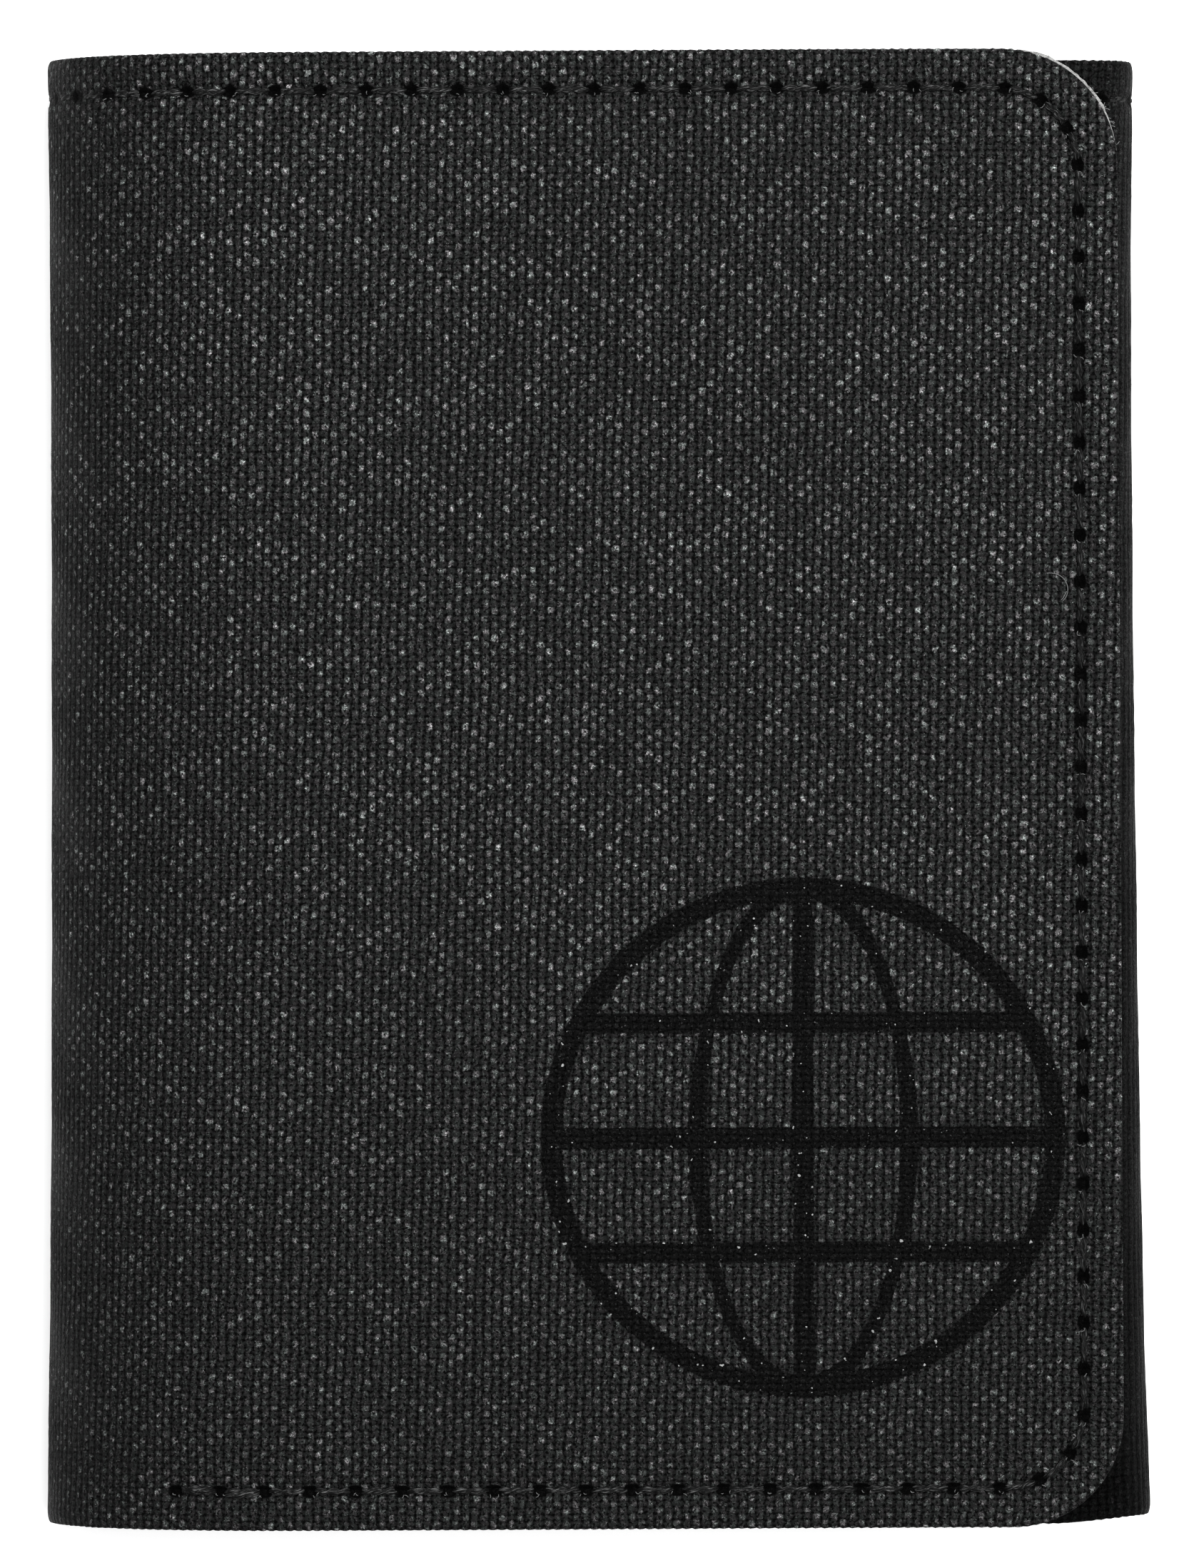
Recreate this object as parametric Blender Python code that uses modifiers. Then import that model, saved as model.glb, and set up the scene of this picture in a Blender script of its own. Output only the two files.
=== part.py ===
"""Passport holder wallet: a tri-fold canvas wallet, closed and lying on its back.

Metres, +Z up. The origin is at the middle of the underside. +X points at the fold of the
inner flap, -X at the fold of the cover, +Y at the top edge. Five sewn panels hang together:
back, left spine, left shoulder, cover on one side, and back, right spine, flap on the other.
"""

import math

import bmesh
import bpy

# Driving dimensions
HEIGHT = 0.140
WIDTH = 0.104
THICKNESS = 0.0225
LOW_RADIUS = 0.005
FLAP_WIDTH = 0.0615
COVER_SETBACK = 0.0028

# Layers
CANVAS = 0.0008
BOARD = 0.0008
LINING = 0.0005
TAPE = 0.0003
GAP = 0.0003
PASSPORT_ROOM = 0.0050
TICKET_ROOM = 0.0009
CARD_ROOM = 0.0003
FLAP_CLEARANCE = 0.0004

# Outlines and seams
COVER_TOP_CORNER = 0.0110
COVER_BOTTOM_CORNER = 0.0090
FLAP_CORNER = 0.006
BOARD_INSET = 0.0012
LINING_INSET = 0.0008
POCKET_INSET = 0.0016
SEAM_INSET = 0.0037
HEM_WIDTH = 0.0030
THREAD_RADIUS = 0.0002
TAPE_WIDTH = 0.0045
TAPE_BEND = 0.00055
SLEEVE_MOUTH_X = -0.0370
HEM_START_X = SLEEVE_MOUTH_X + TAPE_WIDTH + 2 * GAP
TICKET_MOUTH_X = -0.0340
CARD_SLOTS = 3
CARD_SLOT_TOP_Y = 0.048
CARD_SLOT_STEP = 0.016

# Fineness
ARC_STEP = math.radians(5.7)
SHARP_ANGLE = math.radians(30)
CORNER_SEGMENTS = 7
SEAM_CORNER_STEPS = 4
HEM_ROUNDING = 1 / 8

# Depths below a panel's outer face
BOARD_DEPTH = CANVAS + GAP
LINING_DEPTH = BOARD_DEPTH + BOARD + GAP
INNER_DEPTH = LINING_DEPTH + LINING
CARD_STACK = CARD_SLOTS * (CARD_ROOM + LINING)

# Heights that follow from the layers
TICKET_TOP = INNER_DEPTH + TICKET_ROOM + LINING
FLAP_TOP = TICKET_TOP + FLAP_CLEARANCE + CARD_STACK + INNER_DEPTH
SLEEVE_Z = THICKNESS - INNER_DEPTH - PASSPORT_ROOM

# Folds: centre of each bend in X and Z, and its outer radius
SHOULDER_RADIUS = THICKNESS - LOW_RADIUS
FLAP_RADIUS = FLAP_TOP / 2
LEFT_LOW = (-WIDTH / 2 + LOW_RADIUS, LOW_RADIUS, LOW_RADIUS)
LEFT_HIGH = (-WIDTH / 2 + SHOULDER_RADIUS, LOW_RADIUS, SHOULDER_RADIUS)
RIGHT = (WIDTH / 2 - FLAP_RADIUS, FLAP_RADIUS, FLAP_RADIUS)

# Angles where one body ends and the next begins, anticlockwise from +X
SPINE_SPLIT = math.radians(225)
SHOULDER_SPLIT = math.radians(157.5)
COVER_SPLIT = math.radians(112.5)
RIGHT_LOW_SPLIT = math.radians(-45)
RIGHT_HIGH_SPLIT = math.radians(45)

COVER_EDGE_X = WIDTH / 2 - COVER_SETBACK
FLAP_EDGE_X = WIDTH / 2 - FLAP_WIDTH

COLOURS = {
    "canvas": ((0.024, 0.025, 0.026, 1), 0.80),
    "board": ((0.62, 0.62, 0.60, 1), 0.90),
    "lining": ((0.050, 0.052, 0.056, 1), 0.85),
    "tape": ((0.018, 0.018, 0.019, 1), 0.75),
    "thread": ((0.012, 0.012, 0.012, 1), 0.70),
}


def clear_scene():
    for item in list(bpy.data.objects):
        bpy.data.objects.remove(item, do_unlink=True)


def make_material(name, kind):
    colour, roughness = COLOURS[kind]
    material = bpy.data.materials.new(name)
    material.use_nodes = True
    shader = material.node_tree.nodes["Principled BSDF"]
    shader.inputs["Base Color"].default_value = colour
    shader.inputs["Roughness"].default_value = roughness
    shader.inputs["Metallic"].default_value = 0.0
    return material


def bend(fold, depth, start, end):
    """Points at a depth inside a fold, from one angle to another."""
    centre_x, centre_z, radius = fold
    steps = max(2, round(abs(end - start) / ARC_STEP))
    turn = (end - start) / steps
    angles = [start + turn * i for i in range(steps + 1)]
    inner = radius - depth
    return [(centre_x + inner * math.cos(a), centre_z + inner * math.sin(a)) for a in angles]


def half_gap(fold, depth):
    """Angle of half the gap between two bodies, at a depth inside a fold."""
    return GAP / 2 / (fold[2] - depth)


def back_line(depth):
    """Cross-section of the back panel, from the right fold to the left one."""
    right = bend(RIGHT, depth, RIGHT_LOW_SPLIT - half_gap(RIGHT, depth), -math.pi / 2)
    left = bend(LEFT_LOW, depth, 1.5 * math.pi, SPINE_SPLIT + half_gap(LEFT_LOW, depth))
    return right + left


def left_spine_line(depth):
    low = bend(LEFT_LOW, depth, SPINE_SPLIT - half_gap(LEFT_LOW, depth), math.pi)
    high = bend(LEFT_HIGH, depth, math.pi, SHOULDER_SPLIT + half_gap(LEFT_HIGH, depth))
    return low + high[1:]


def left_shoulder_line(depth):
    margin = half_gap(LEFT_HIGH, depth)
    return bend(LEFT_HIGH, depth, SHOULDER_SPLIT - margin, COVER_SPLIT + margin)


def cover_line(depth, edge_inset):
    arc = bend(LEFT_HIGH, depth, COVER_SPLIT - half_gap(LEFT_HIGH, depth), math.pi / 2)
    return arc + [(COVER_EDGE_X - edge_inset, THICKNESS - depth)]


def right_spine_line(depth):
    margin = half_gap(RIGHT, depth)
    return bend(RIGHT, depth, RIGHT_HIGH_SPLIT - margin, RIGHT_LOW_SPLIT + margin)


def flap_line(depth, edge_inset):
    arc = bend(RIGHT, depth, math.pi / 2, RIGHT_HIGH_SPLIT + half_gap(RIGHT, depth))
    return [(FLAP_EDGE_X + edge_inset, FLAP_TOP - depth)] + arc


def flat_line(x_start, x_end, z):
    return [(x_start, z), (x_end, z)]


def add_object(name, mesh, kind, collection):
    item = bpy.data.objects.new(name, mesh)
    item.data.materials.append(make_material(name + "_material", kind))
    collection.objects.link(item)
    return item


def place_on_axis(item, axis_point):
    """Moves an object's origin onto its joint's axis without moving its shape."""
    x, z = axis_point
    for vertex in item.data.vertices:
        vertex.co.x -= x
        vertex.co.z -= z
    item.location = (x, 0, z)


def add_sheet(name, kind, body, line, thickness, inset=0.0, y_range=None, corners=None):
    """A sewn layer: an open surface along a cross-section line, thickened inwards.

    corners gives the radius of the (start low, start high, end low, end high) corners.
    """
    low, high = y_range or (-HEIGHT / 2 + inset, HEIGHT / 2 - inset)
    mesh = bpy.data.meshes.new(name)
    shape = bmesh.new()
    row = [shape.verts.new((x, low, z)) for x, z in line]
    edges = [shape.edges.new(pair) for pair in zip(row, row[1:])]
    grown = bmesh.ops.extrude_edge_only(shape, edges=edges)["geom"]
    far_row = [part for part in grown if isinstance(part, bmesh.types.BMVert)]
    bmesh.ops.translate(shape, verts=far_row, vec=(0, high - low, 0))
    shape.normal_update()
    (x_0, z_0), (x_1, z_1) = line[:2]
    first = min(shape.faces, key=lambda f: (f.calc_center_median().x - (x_0 + x_1) / 2) ** 2
                + (f.calc_center_median().z - (z_0 + z_1) / 2) ** 2)
    if first.normal.x * (z_0 - z_1) + first.normal.z * (x_1 - x_0) < 0:
        bmesh.ops.reverse_faces(shape, faces=shape.faces)
    if corners:
        round_corners(shape, line, (low, high), corners)
    shape.to_mesh(mesh)
    shape.free()
    item = add_object(name, mesh, kind, body["collection"])
    solidify = item.modifiers.new("thickness", "SOLIDIFY")
    solidify.thickness = thickness
    solidify.offset = -1
    solidify.use_even_offset = True
    place_on_axis(item, body["axis"])
    mesh.shade_smooth()
    mesh.set_sharp_from_angle(angle=SHARP_ANGLE)
    return item


def round_corners(shape, line, y_range, corners):
    ends = [(line[0], y) for y in y_range] + [(line[-1], y) for y in y_range]
    for ((x, z), y), radius in zip(ends, corners):
        if radius:
            corner = min(shape.verts, key=lambda v: (v.co.x - x) ** 2
                         + (v.co.y - y) ** 2 + (v.co.z - z) ** 2)
            bmesh.ops.bevel(shape, geom=[corner], offset=radius,
                            segments=CORNER_SEGMENTS, profile=0.5, affect="VERTICES")


def add_bar(name, kind, body, low, high):
    """A straight hem with slightly rounded long edges."""
    mesh = bpy.data.meshes.new(name)
    shape = bmesh.new()
    bmesh.ops.create_cube(shape, size=1.0)
    size = [b - a for a, b in zip(low, high)]
    middle = [(a + b) / 2 for a, b in zip(low, high)]
    bmesh.ops.scale(shape, vec=size, verts=shape.verts)
    bmesh.ops.translate(shape, vec=middle, verts=shape.verts)
    shape.to_mesh(mesh)
    shape.free()
    item = add_object(name, mesh, kind, body["collection"])
    bevel = item.modifiers.new("rounding", "BEVEL")
    bevel.width = min(size) * HEM_ROUNDING
    bevel.segments = 2
    place_on_axis(item, body["axis"])
    return item


def add_thread(name, body, points):
    """A seam's thread, as a thin tube along its route."""
    curve = bpy.data.curves.new(name, "CURVE")
    curve.dimensions = "3D"
    curve.bevel_depth = THREAD_RADIUS
    curve.bevel_resolution = 1
    curve.use_fill_caps = True
    spline = curve.splines.new("POLY")
    spline.points.add(len(points) - 1)
    x_axis, z_axis = body["axis"]
    for point, (x, y, z) in zip(spline.points, points):
        point.co = (x - x_axis, y, z - z_axis, 1)
    item = bpy.data.objects.new(name, curve)
    curve.materials.append(make_material(name + "_material", "thread"))
    item.location = (x_axis, 0, z_axis)
    body["collection"].objects.link(item)
    return item


def hairpin(edge_x, top_z, sheet, toward):
    """Cross-section of a tape folded over a sheet's edge; toward is +1 where the sheet lies at +X."""
    radius = sheet / 2 + TAPE_BEND
    middle_z = top_z - sheet / 2
    centre_x = edge_x + toward * (radius - GAP - TAPE)
    end_x = centre_x + toward * TAPE_WIDTH
    arc = bend((centre_x, middle_z, radius), 0, 1.5 * math.pi, 0.5 * math.pi)
    if toward < 0:
        arc = bend((centre_x, middle_z, radius), 0, 0.5 * math.pi, -0.5 * math.pi)
        return [(end_x, middle_z + radius)] + arc + [(end_x, middle_z - radius)]
    return [(end_x, middle_z - radius)] + arc + [(end_x, middle_z + radius)]


def seam_u(z, x_start, x_edge, corner):
    """Route of a seam along the bottom, round the free edge and back along the top."""
    y_seam = HEIGHT / 2 - SEAM_INSET
    radius = corner - SEAM_INSET
    route = [(x_start, -y_seam, z)]
    for side in (-1, 1):
        for i in range(SEAM_CORNER_STEPS + 1):
            share = i / SEAM_CORNER_STEPS
            turn = math.pi / 2 * (share - 1 if side < 0 else share)
            route.append((x_edge - radius + radius * math.cos(turn),
                          side * (y_seam - radius) + radius * math.sin(turn), z))
    route.append((x_start, y_seam, z))
    return route


def axis_of(fold, angle, bend_angle):
    """Where a rigid hinge opens a bend out flat at its true length."""
    centre_x, centre_z, radius = fold
    reach = radius * (bend_angle / 2) / math.sin(bend_angle / 2)
    return (centre_x + reach * math.cos(angle), centre_z + reach * math.sin(angle))


def make_back(body):
    add_sheet("back_shell", "canvas", body, back_line(0), CANVAS)
    board = flat_line(RIGHT[0], LEFT_LOW[0], BOARD_DEPTH)
    add_sheet("back_board", "board", body, board, BOARD, inset=BOARD_INSET)
    add_sheet("back_lining", "lining", body, back_line(LINING_DEPTH), LINING, inset=LINING_INSET)
    pocket_z = INNER_DEPTH + TICKET_ROOM
    pocket = flat_line(RIGHT[0], TICKET_MOUTH_X, pocket_z)
    add_sheet("ticket_pocket", "canvas", body, pocket, LINING, inset=POCKET_INSET)
    tape = hairpin(TICKET_MOUTH_X, pocket_z + LINING, LINING, 1)
    add_sheet("ticket_pocket_binding", "tape", body, tape, TAPE, inset=POCKET_INSET)


def make_left_spine(body):
    add_sheet("left_spine_shell", "canvas", body, left_spine_line(0), CANVAS)
    line = left_spine_line(LINING_DEPTH)
    add_sheet("left_spine_lining", "lining", body, line, LINING, inset=LINING_INSET)


def make_left_shoulder(body):
    add_sheet("left_shoulder_shell", "canvas", body, left_shoulder_line(0), CANVAS)
    line = left_shoulder_line(LINING_DEPTH)
    add_sheet("left_shoulder_lining", "lining", body, line, LINING, inset=LINING_INSET)


def cover_corners(inset):
    return (0, 0, COVER_BOTTOM_CORNER - inset, COVER_TOP_CORNER - inset)


def make_cover(body):
    add_sheet("cover_shell", "canvas", body, cover_line(0, 0), CANVAS, corners=cover_corners(0))
    board = flat_line(LEFT_HIGH[0], COVER_EDGE_X - BOARD_INSET / 2, THICKNESS - BOARD_DEPTH)
    add_sheet("cover_board", "board", body, board, BOARD, inset=BOARD_INSET / 2,
              corners=cover_corners(BOARD_INSET / 2))
    lining = cover_line(LINING_DEPTH, LINING_INSET)
    add_sheet("cover_lining", "lining", body, lining, LINING, inset=LINING_INSET,
              corners=cover_corners(LINING_INSET))
    sleeve = flat_line(SLEEVE_MOUTH_X, COVER_EDGE_X - LINING_INSET, SLEEVE_Z)
    add_sheet("passport_sleeve", "canvas", body, sleeve, LINING, inset=LINING_INSET,
              corners=cover_corners(LINING_INSET))
    tape = hairpin(SLEEVE_MOUTH_X, SLEEVE_Z, LINING, 1)
    add_sheet("passport_sleeve_binding", "tape", body, tape, TAPE, inset=LINING_INSET)
    make_sleeve_hems(body)
    thread_z = THICKNESS + GAP / 2 + THREAD_RADIUS
    route = seam_u(thread_z, LEFT_HIGH[0], COVER_EDGE_X - SEAM_INSET, COVER_TOP_CORNER)
    add_thread("cover_seam_thread", body, route)


def make_sleeve_hems(body):
    """Seam allowances that keep the passport sleeve open on its three sewn sides."""
    low_z = SLEEVE_Z + GAP
    high_z = THICKNESS - INNER_DEPTH - GAP
    y_out = HEIGHT / 2 - POCKET_INSET
    edge_x = COVER_EDGE_X - COVER_TOP_CORNER
    for name, side in (("sleeve_hem_top", 1), ("sleeve_hem_bottom", -1)):
        y_pair = sorted((side * y_out, side * (y_out - HEM_WIDTH)))
        add_bar(name, "lining", body, (HEM_START_X, y_pair[0], low_z), (edge_x, y_pair[1], high_z))
    x_out = COVER_EDGE_X - POCKET_INSET
    y_end = HEIGHT / 2 - COVER_TOP_CORNER
    add_bar("sleeve_hem_edge", "lining", body, (x_out - HEM_WIDTH, -y_end, low_z),
            (x_out, y_end, high_z))


def make_right_spine(body):
    add_sheet("right_spine_shell", "canvas", body, right_spine_line(0), CANVAS)
    line = right_spine_line(LINING_DEPTH)
    add_sheet("right_spine_lining", "lining", body, line, LINING, inset=LINING_INSET)


def make_flap(body):
    corners = (FLAP_CORNER, FLAP_CORNER, 0, 0)
    add_sheet("flap_shell", "canvas", body, flap_line(0, 0), CANVAS, corners=corners)
    board = flat_line(FLAP_EDGE_X + BOARD_INSET, RIGHT[0], FLAP_TOP - BOARD_DEPTH)
    add_sheet("flap_board", "board", body, board, BOARD, inset=BOARD_INSET, corners=corners)
    lining = flap_line(LINING_DEPTH, LINING_INSET)
    add_sheet("flap_lining", "lining", body, lining, LINING, inset=LINING_INSET, corners=corners)
    for slot in range(CARD_SLOTS):
        top_z = FLAP_TOP - INNER_DEPTH - CARD_ROOM - slot * (CARD_ROOM + LINING)
        sheet = flat_line(FLAP_EDGE_X + POCKET_INSET, RIGHT[0], top_z)
        mouth_y = CARD_SLOT_TOP_Y - slot * CARD_SLOT_STEP
        y_range = (-HEIGHT / 2 + POCKET_INSET, mouth_y)
        add_sheet("card_slot_" + str(slot + 1), "canvas", body, sheet, LINING,
                  y_range=y_range, corners=(FLAP_CORNER, 0, 0, 0))


def main():
    clear_scene()
    collection = bpy.data.collections.new("passport_wallet")
    bpy.context.scene.collection.children.link(collection)
    quarter = math.pi / 2
    makers = (
        (make_back, (0, 0)),
        (make_left_spine, axis_of(LEFT_LOW, SPINE_SPLIT, quarter)),
        (make_left_shoulder, axis_of(LEFT_HIGH, SHOULDER_SPLIT, quarter / 2)),
        (make_cover, axis_of(LEFT_HIGH, COVER_SPLIT, quarter / 2)),
        (make_right_spine, axis_of(RIGHT, RIGHT_LOW_SPLIT, quarter)),
        (make_flap, axis_of(RIGHT, RIGHT_HIGH_SPLIT, quarter)),
    )
    for make, axis in makers:
        make({"collection": collection, "axis": axis})


main()
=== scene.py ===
"""Looks of the passport holder wallet: woven canvas, sewn seams, pockets and print.

The cloth is laid out flat in two lengths: s runs from the cover's free edge round the left
fold, under the back and round the right fold to the flap's free edge, and t runs up the
wallet. Every layer is made in (s, t, depth) and then folded round the wallet's cross-section.
"""

import math
import random

import bpy
import numpy as np
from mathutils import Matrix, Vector


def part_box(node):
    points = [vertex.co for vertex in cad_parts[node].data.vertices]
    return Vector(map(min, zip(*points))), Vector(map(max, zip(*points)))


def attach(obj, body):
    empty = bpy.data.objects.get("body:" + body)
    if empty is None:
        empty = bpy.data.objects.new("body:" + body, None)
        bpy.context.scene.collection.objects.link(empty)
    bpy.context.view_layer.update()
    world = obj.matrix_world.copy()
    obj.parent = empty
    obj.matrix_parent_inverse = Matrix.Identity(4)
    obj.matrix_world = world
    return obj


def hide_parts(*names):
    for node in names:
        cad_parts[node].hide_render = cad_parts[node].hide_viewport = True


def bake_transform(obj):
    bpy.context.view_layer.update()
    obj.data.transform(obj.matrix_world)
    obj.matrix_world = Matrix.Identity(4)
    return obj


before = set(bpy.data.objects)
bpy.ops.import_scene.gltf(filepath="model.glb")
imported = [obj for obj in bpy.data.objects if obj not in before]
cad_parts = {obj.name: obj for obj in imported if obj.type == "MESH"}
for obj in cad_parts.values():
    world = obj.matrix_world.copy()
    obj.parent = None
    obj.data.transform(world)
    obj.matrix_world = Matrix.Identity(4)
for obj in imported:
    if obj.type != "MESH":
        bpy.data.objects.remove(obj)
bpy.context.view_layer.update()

MM = 0.001

# Places read from the frame
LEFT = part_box("left_spine_shell")[0][0]
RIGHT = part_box("right_spine_shell")[1][0]
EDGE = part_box("cover_shell")[1][0]
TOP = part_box("cover_shell")[1][2]
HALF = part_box("cover_shell")[1][1]
FLAP_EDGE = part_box("flap_shell")[0][0]
FLAP_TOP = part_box("flap_shell")[1][2]
SLEEVE_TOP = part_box("passport_sleeve")[1][2]
SLEEVE_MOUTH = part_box("passport_sleeve")[0][0]
TICKET_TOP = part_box("ticket_pocket")[1][2]
TICKET_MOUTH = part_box("ticket_pocket")[0][0]

# The folds' cross-sections
SHOULDER_RUN = 24 * MM
LOW_RUN = 5 * MM
LOW_RISE = 5.5 * MM
FLAP_RADIUS = FLAP_TOP / 2

# Layers, as depths below the outer face
CANVAS_LOW = 0.84 * MM
BOARD_HIGH = 0.86 * MM
BOARD_LOW = 1.94 * MM
LINING_HIGH = 1.96 * MM
LINING_LOW = 2.50 * MM
POCKET_CLOTH = 0.45 * MM

# Outlines
COVER_CORNERS = (10.4 * MM, 11.0 * MM)
FLAP_CORNERS = (6.0 * MM, 6.0 * MM)
SEAM_INSET = 3.7 * MM
STITCH_PITCH = 4.30 * MM
SIDE_PITCH = 4.386 * MM
CORNER_PITCHES = (3.85 * MM, 3.62 * MM)
COUNTED_HOLE_T = 54.6 * MM
COVER_SEAM_CORNER = 7.6 * MM
FLAP_SEAM_CORNER = 3.0 * MM

# Stitches
HOLE_LENGTH = 1.15 * MM
HOLE_CLEAR = 0.46 * HOLE_LENGTH
HOLE_REACH = (0.72 * HOLE_LENGTH, 0.60 * MM)
SEAM_THREAD = (0.22 * MM, 0.15 * MM)
FINE_THREAD = (0.11 * MM, 0.08 * MM)
SEAM_THREAD_DEPTH = 0.33 * MM
STITCH_STEPS = 15
PLY_SIDES = 6
PLY_TURNS = 1.25

# Cloth
TAUTNESS = 0.9915
WARP_PITCH = 0.862 * MM
WEFT_PITCH = 0.6365 * MM
WARP_LEAN = math.tan(math.radians(1.4))
WEFT_TIGHTENING = 0.31
CROWN_LIGHT = 0.235
COLUMN_LIGHT = 0.035
GROUND_LIGHT = 0.0068
GAP_LIGHT = 0.0007
# Brightness of the painted glints on the canvas crowns
PAINTED_GLINT_LIGHT = 0.34
# How much light painted shade leaves on the left fold and the cloth beyond it
FOLD_PAINTED_SHADE = 0.50
YARN_SIZES = 700

# Backing
BOARD_HIDE = 0.25 * MM
BOARD_INSET = 1.2 * MM
PALE_BAND = 0.27 * MM

# Printed sign
INK_CENTRE = (EDGE - 19.3 * MM, -33.0 * MM)
INK_RADIUS = 23.6 * MM
INK_STROKE = 1.0 * MM
INK_MERIDIAN = 0.42
INK_PARALLELS = (-0.46, 0.0, 0.46)
INK_LIGHT = 0.0045
# Brightness of the painted glints in the ink
INK_PAINTED_GLINT = 0.34
INK_ROUGHNESS = 0.24

random.seed(7)
noise_source = np.random.default_rng(7)


# ---------------------------------------------------------------- cross-section

def arc_points(centre, run, rise, start, end, count=120):
    """Points on part of an ellipse, from one angle in degrees to another."""
    angles = np.radians(np.linspace(start, end, count))
    return np.stack([centre[0] + run * np.cos(angles), centre[1] + rise * np.sin(angles)], 1)


def build_section():
    """Outer line of the closed wallet in X and Z, with its running length and normals."""
    shoulder_centre = (LEFT + SHOULDER_RUN, LOW_RISE)
    parts = [
        np.array([[EDGE, TOP]]),
        arc_points(shoulder_centre, SHOULDER_RUN, TOP - LOW_RISE, 90, 180),
        arc_points((LEFT + LOW_RUN, LOW_RISE), LOW_RUN, LOW_RISE, 180, 270),
        np.array([[0.0, 0.0]]),
        arc_points((RIGHT - FLAP_RADIUS, FLAP_RADIUS), FLAP_RADIUS, FLAP_RADIUS, -90, 90),
        np.array([[FLAP_EDGE, FLAP_TOP]]),
    ]
    corners = np.concatenate(parts)
    gaps = np.linalg.norm(np.diff(corners, axis=0), axis=1)
    keep = np.concatenate([[True], gaps > 1e-7])
    corners = corners[keep]
    length = np.concatenate([[0], np.cumsum(np.linalg.norm(np.diff(corners, axis=0), axis=1))])
    fine = np.arange(0, length[-1], 0.1 * MM)
    x = np.interp(fine, length, corners[:, 0])
    z = np.interp(fine, length, corners[:, 1])
    tangent_x, tangent_z = np.gradient(x), np.gradient(z)
    size = np.hypot(tangent_x, tangent_z)
    return fine, x, z, tangent_z / size, -tangent_x / size


SECTION_S, SECTION_X, SECTION_Z, NORMAL_X, NORMAL_Z = build_section()


def length_at(x, z):
    """The length along the section that comes nearest to a point."""
    return float(SECTION_S[np.argmin((SECTION_X - x) ** 2 + (SECTION_Z - z) ** 2)])


S_COVER_FLAT = length_at(LEFT + SHOULDER_RUN, TOP)
SHOULDER_TURN = math.atan((TOP - LOW_RISE) / SHOULDER_RUN)
SHOULDER_POINT = (LEFT + SHOULDER_RUN - SHOULDER_RUN * math.cos(SHOULDER_TURN),
                  LOW_RISE + (TOP - LOW_RISE) * math.sin(SHOULDER_TURN))
S_SHOULDER = length_at(*SHOULDER_POINT)
S_SPINE = length_at(LEFT, LOW_RISE)
S_BACK_LEFT = length_at(LEFT + LOW_RUN, 0)
S_BACK = length_at(0, 0)
S_BACK_RIGHT = length_at(RIGHT - FLAP_RADIUS, 0)
S_RIGHT = length_at(RIGHT, FLAP_RADIUS)
S_FLAP_FLAT = length_at(RIGHT - FLAP_RADIUS, FLAP_TOP)
S_END = float(SECTION_S[-1])


def smooth(value, low, high):
    """A smooth step from 0 at low to 1 at high."""
    ratio = np.clip((value - low) / (high - low), 0, 1)
    return ratio * ratio * (3 - 2 * ratio)


def surface(s, t, depth):
    """World places of flat cloth points at a depth below the outer face."""
    s, t, depth = np.broadcast_arrays(np.asarray(s, float), t, depth)
    inside = np.clip(s, 0, S_END)
    normal_x = np.interp(inside, SECTION_S, NORMAL_X)
    normal_z = np.interp(inside, SECTION_S, NORMAL_Z)
    size = np.hypot(normal_x, normal_z)
    x = np.interp(inside, SECTION_S, SECTION_X) - depth * normal_x / size
    z = np.interp(inside, SECTION_S, SECTION_Z) - depth * normal_z / size
    x = x - np.minimum(s, 0) - np.maximum(s - S_END, 0)
    return relax(x, t, z, s)


def relax(x, y, z, s):
    """The closed wallet's small departures from square: a waisted left fold, a slanting
    right fold, and a cover that sits slightly turned and bowed over the flap."""
    share = y / HALF
    beside = np.exp(-((x - LEFT) / (14 * MM)) ** 2)
    waist = beside * (0.45 * (1 - share ** 2) - 0.25) * MM
    under = smooth(s, S_SPINE, S_BACK)
    near_right = smooth(x, 10 * MM, RIGHT) * under
    slant = -(0.85 * share + 0.65 * (1 - share ** 4)) * MM * near_right
    tuck = 0.75 * MM * smooth(x, 42 * MM, RIGHT) * under * smooth(-share, 0.3, 1.0)
    over = 1 - smooth(s, S_COVER_FLAT, S_SPINE)
    swing = smooth(x, LEFT, EDGE) * over
    turn_x = -0.35 * MM * share * swing
    turn_y = 0.40 * MM * swing
    bow = 0.35 * MM * np.sin(np.pi * np.clip((x - LEFT) / (EDGE - LEFT), 0, 1)) * over
    dip = -0.45 * MM * share ** 4 * over
    moved_y = y * TAUTNESS + turn_y + tuck
    return np.stack([x + waist + slant + turn_x, moved_y, z + bow + dip], -1)


# ---------------------------------------------------------------- flat outlines

def map_corners(s, t, edge_s, inward, half, radii):
    """Rounds a free edge's two corners; the grid stays whole where a square becomes a round."""
    away = (s - edge_s) * inward
    new_away, new_t = away.copy(), t.copy()
    for side, radius in ((-1, radii[0]), (1, radii[1])):
        if radius <= 0:
            continue
        below = half - side * t
        here = (away < radius) & (below < radius)
        a = 1 - away[here] / radius
        b = 1 - below[here] / radius
        new_away[here] = radius * (1 - a * np.sqrt(1 - b * b / 2))
        new_t[here] = side * (half - radius * (1 - b * np.sqrt(1 - a * a / 2)))
    return edge_s + inward * new_away, new_t


def edge_distance(s, t, half, edge_s=None, inward=1, radii=(0, 0)):
    """Distance from the cut outline: the long edges, and a rounded free edge if there is one."""
    distance = half - np.abs(t)
    if edge_s is None:
        return distance
    away = (s - edge_s) * inward
    distance = np.minimum(distance, away)
    for side, radius in ((-1, radii[0]), (1, radii[1])):
        below = half - side * t
        here = (away < radius) & (below < radius)
        from_centre = np.hypot(radius - away, radius - below)
        distance = np.where(here, radius - from_centre, distance)
    return distance


EDGE_STEPS = np.array([0, 0.10, 0.25, 0.50, 0.85, 1.30]) * MM
SEAM_STEPS = np.arange(2.3, 5.2, 0.42) * MM


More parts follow.
